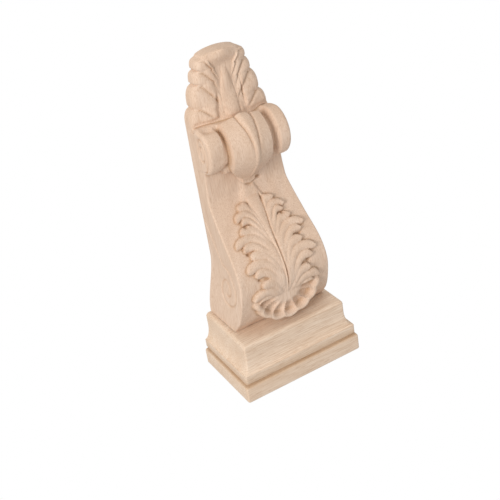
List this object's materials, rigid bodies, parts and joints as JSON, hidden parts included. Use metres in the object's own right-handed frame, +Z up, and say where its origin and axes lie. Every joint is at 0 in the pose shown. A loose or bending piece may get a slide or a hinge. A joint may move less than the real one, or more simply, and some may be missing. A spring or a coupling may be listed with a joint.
{
  "type": "carved corbel",
  "caption": "Carved wooden corbel: a scrolled bracket with acanthus, shell and hanging leaf under a moulded cap, to carry a shelf or mantel on a wall.",
  "frame": {"origin": "on the flat back face that lies against the wall, on the centre line, at half the overall height", "axes": "+Z up towards the cap's top face, -Y out from the wall towards the carved front, +X to the viewer's right"},
  "size_m": [0.086, 0.055, 0.21],
  "materials": {
    "carved_wood": "bare, sanded pale hardwood, grain along the height, slightly fuzzy in the carving",
    "cap_wood": "bare, planed pale hardwood, a little yellower, grain along the width"
  },
  "bodies": {
    "root": {"carved_bracket": "carved_wood", "moulded_cap": "cap_wood"}
  },
  "joints": []
}
